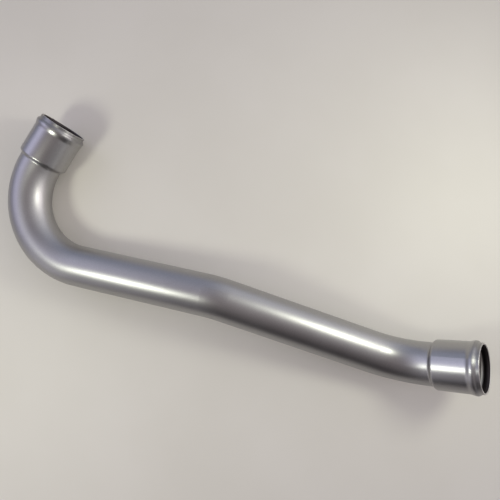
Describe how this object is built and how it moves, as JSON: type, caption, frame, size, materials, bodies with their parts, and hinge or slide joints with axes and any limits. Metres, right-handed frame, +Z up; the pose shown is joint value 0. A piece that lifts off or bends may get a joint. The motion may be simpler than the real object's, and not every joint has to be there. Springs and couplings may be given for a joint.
{
  "type": "radiator pipe",
  "caption": "Formed coolant pipe that joins radiator hoses: a round metal tube bent out of plane, open right through, with a swaged and beaded hose spigot at each end.",
  "frame": {"origin": "centre of the bounding box's base, on the surface that the pipe lies on", "axes": "+X along the pipe's length, from the hooked end towards the rising end; +Y towards the mouth of the hooked end; +Z up, as the pipe lies at rest"},
  "size_m": [0.3631, 0.2186, 0.0629],
  "materials": {
    "pipe": "satin"
  },
  "bodies": {
    "root": {"pipe": "pipe"}
  },
  "joints": []
}
